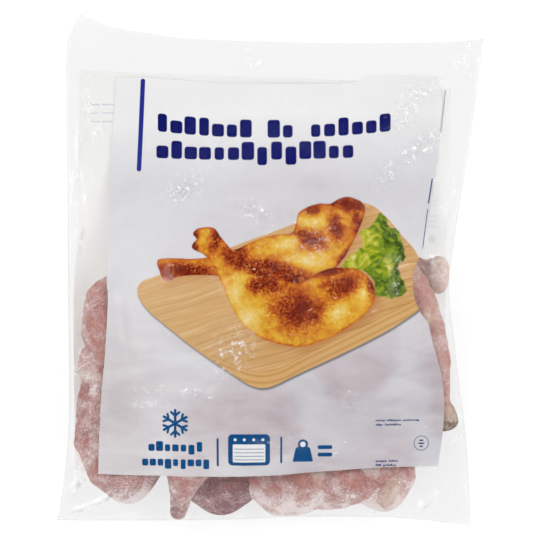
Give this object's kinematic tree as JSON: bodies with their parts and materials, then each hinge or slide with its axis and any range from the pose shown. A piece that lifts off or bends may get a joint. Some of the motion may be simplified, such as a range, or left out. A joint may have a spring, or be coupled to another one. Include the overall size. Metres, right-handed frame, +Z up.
{
  "type": "bag of frozen raw chicken leg quarters",
  "caption": "Clear sealed film bag holding frozen raw chicken leg quarters, lying on its back with its printed front panel up.",
  "frame": {"origin": "on the floor, under the middle of the bag's outline", "axes": "+X to the bag's right, +Y to its top end, +Z up, out of the printed front"},
  "size_m": [0.332, 0.398, 0.0769],
  "materials": {
    "film": "clear thin glossy bag film with creases and glints",
    "printed_film": "white ink printed on the bag film, slightly see-through, with coloured print",
    "chicken_skin": "raw pink chicken skin and meat, mottled, with frost",
    "chicken_bone": "creamy gristle and cut bone, frozen",
    "frost": "loose ice crystals"
  },
  "bodies": {
    "root": {"bag": "film"}
  },
  "joints": []
}
